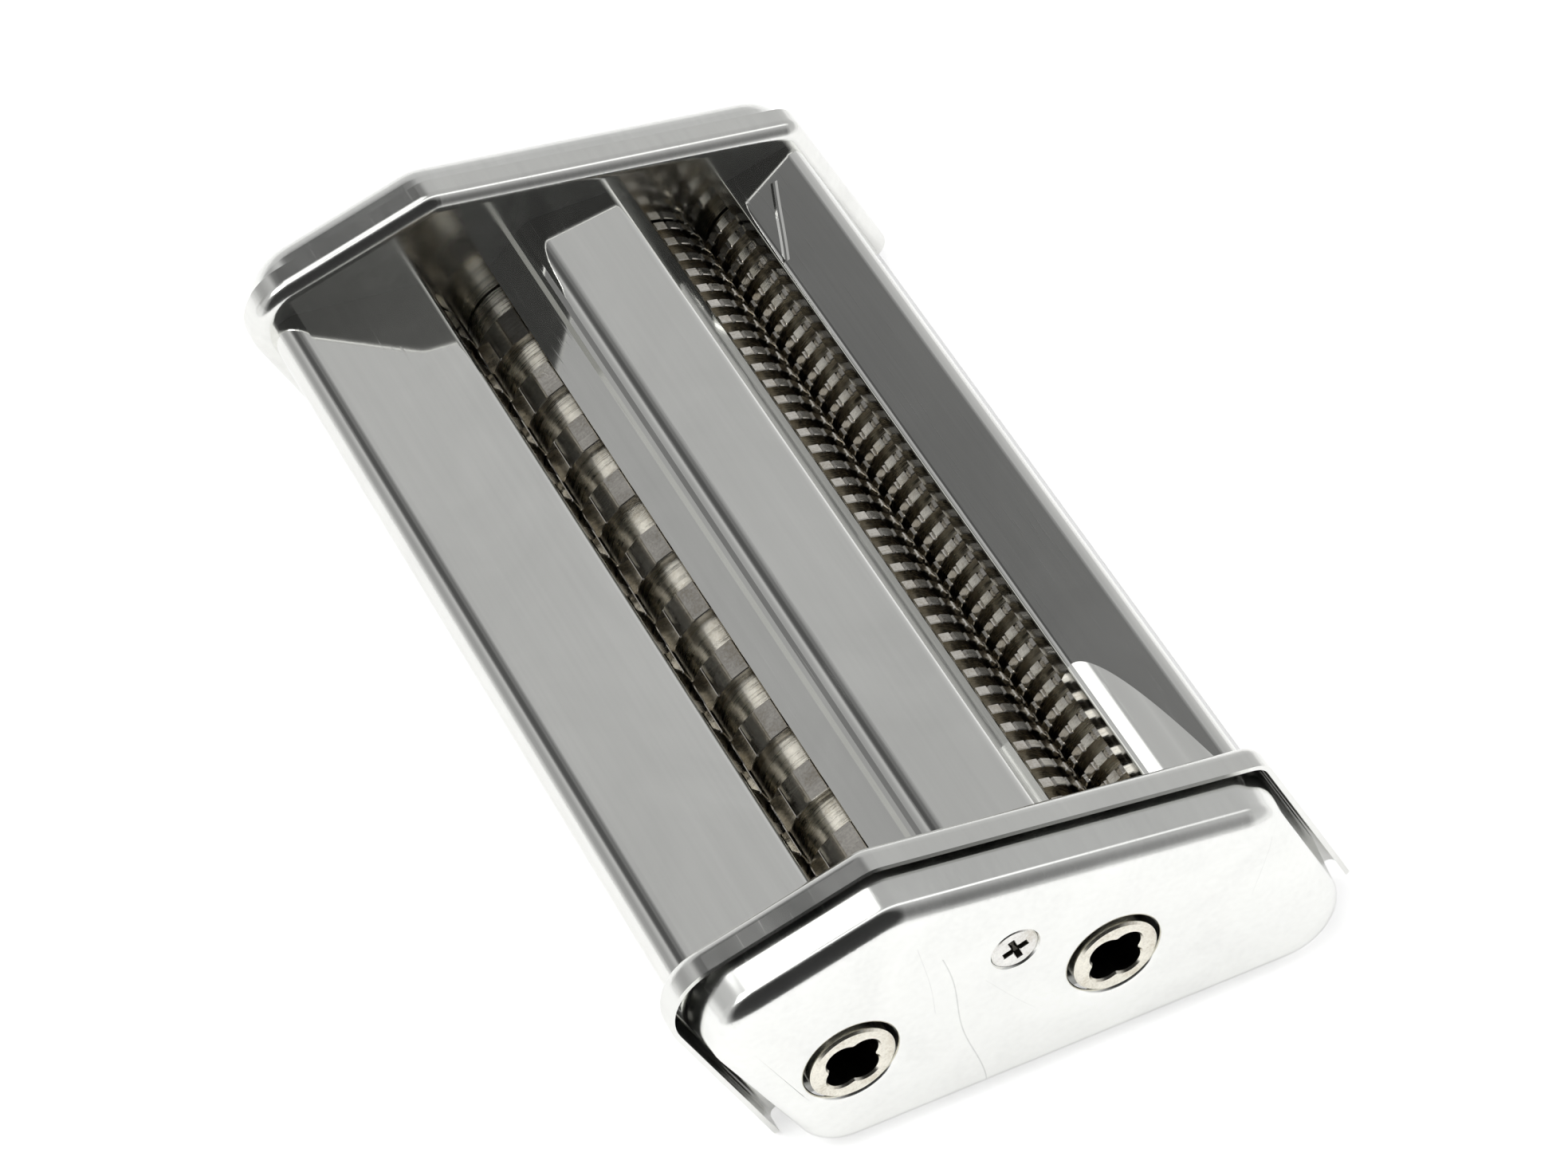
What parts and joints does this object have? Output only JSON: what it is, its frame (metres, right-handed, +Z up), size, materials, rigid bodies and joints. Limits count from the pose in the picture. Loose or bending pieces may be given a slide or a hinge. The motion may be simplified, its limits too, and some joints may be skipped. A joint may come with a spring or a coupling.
{
  "type": "pasta cutter head",
  "caption": "Detachable head of a pasta machine: interleaved cutter rollers in a wide and a narrow pair, under feed trays between capped end plates, with lobed crank sockets.",
  "frame": {"origin": "bottom centre, at the height of the flat lower edge of the end covers", "axes": "+Y along the rollers from the crank end to the gear end, +X from the wide cutter to the narrow cutter, +Z up"},
  "size_m": [0.1104, 0.1724, 0.051],
  "materials": {
    "polished_sheet": "polished stainless sheet with fine scratches",
    "cutter_steel": "turned and nickel plated, warm grey",
    "socket_steel": "machined, bright, slightly warm",
    "gear_steel": "machined, lightly oiled",
    "spring_steel": "dark spring steel",
    "comb_plastic": "moulded, pale grey",
    "bush_plastic": "moulded, dark grey",
    "rod_steel": "drawn bright rod",
    "screw_steel": "plated, cross recess"
  },
  "bodies": {
    "frame": {"crank_side_plate": "polished_sheet", "gear_side_plate": "polished_sheet", "crank_side_cover": "polished_sheet", "gear_side_cover": "polished_sheet", "wide_side_tray": "polished_sheet", "narrow_side_tray": "polished_sheet", "centre_roof": "polished_sheet", "wide_drive_comb": "comb_plastic", "wide_idler_comb": "comb_plastic", "narrow_drive_comb": "comb_plastic", "narrow_idler_comb": "comb_plastic", "crank_socket_bushes": "bush_plastic", "crank_side_bushes": "bush_plastic", "gear_side_bushes": "bush_plastic", "comb_rods": "rod_steel", "cover_posts": "rod_steel", "cover_screws": "screw_steel"},
    "wide_drive_roller": {"wide_drive_cutter": "cutter_steel", "wide_drive_gear": "gear_steel", "wide_drive_clip": "spring_steel", "wide_socket_hub": "socket_steel"},
    "wide_idler_roller": {"wide_idler_cutter": "cutter_steel", "wide_idler_gear": "gear_steel", "wide_idler_clip": "spring_steel"},
    "narrow_drive_roller": {"narrow_drive_cutter": "cutter_steel", "narrow_drive_gear": "gear_steel", "narrow_drive_clip": "spring_steel", "narrow_socket_hub": "socket_steel"},
    "narrow_idler_roller": {"narrow_idler_cutter": "cutter_steel", "narrow_idler_gear": "gear_steel", "narrow_idler_clip": "spring_steel"}
  },
  "joints": [
    {"name": "wide_drive_turn", "type": "hinge", "parent": "frame", "child": "wide_drive_roller", "pos_m": [-0.0317, 0, 0.0207], "axis": [0, 1, 0], "continuous": true},
    {"name": "wide_idler_turn", "type": "hinge", "parent": "frame", "child": "wide_idler_roller", "pos_m": [-0.0125, 0, 0.0207], "axis": [0, 1, 0], "continuous": true},
    {"name": "narrow_drive_turn", "type": "hinge", "parent": "frame", "child": "narrow_drive_roller", "pos_m": [0.01045, 0, 0.0207], "axis": [0, 1, 0], "continuous": true},
    {"name": "narrow_idler_turn", "type": "hinge", "parent": "frame", "child": "narrow_idler_roller", "pos_m": [0.02965, 0, 0.0207], "axis": [0, 1, 0], "continuous": true}
  ],
  "couplings": [
    {"joint": "wide_idler_turn", "follows": "wide_drive_turn", "ratio": -1},
    {"joint": "narrow_idler_turn", "follows": "narrow_drive_turn", "ratio": -1}
  ]
}
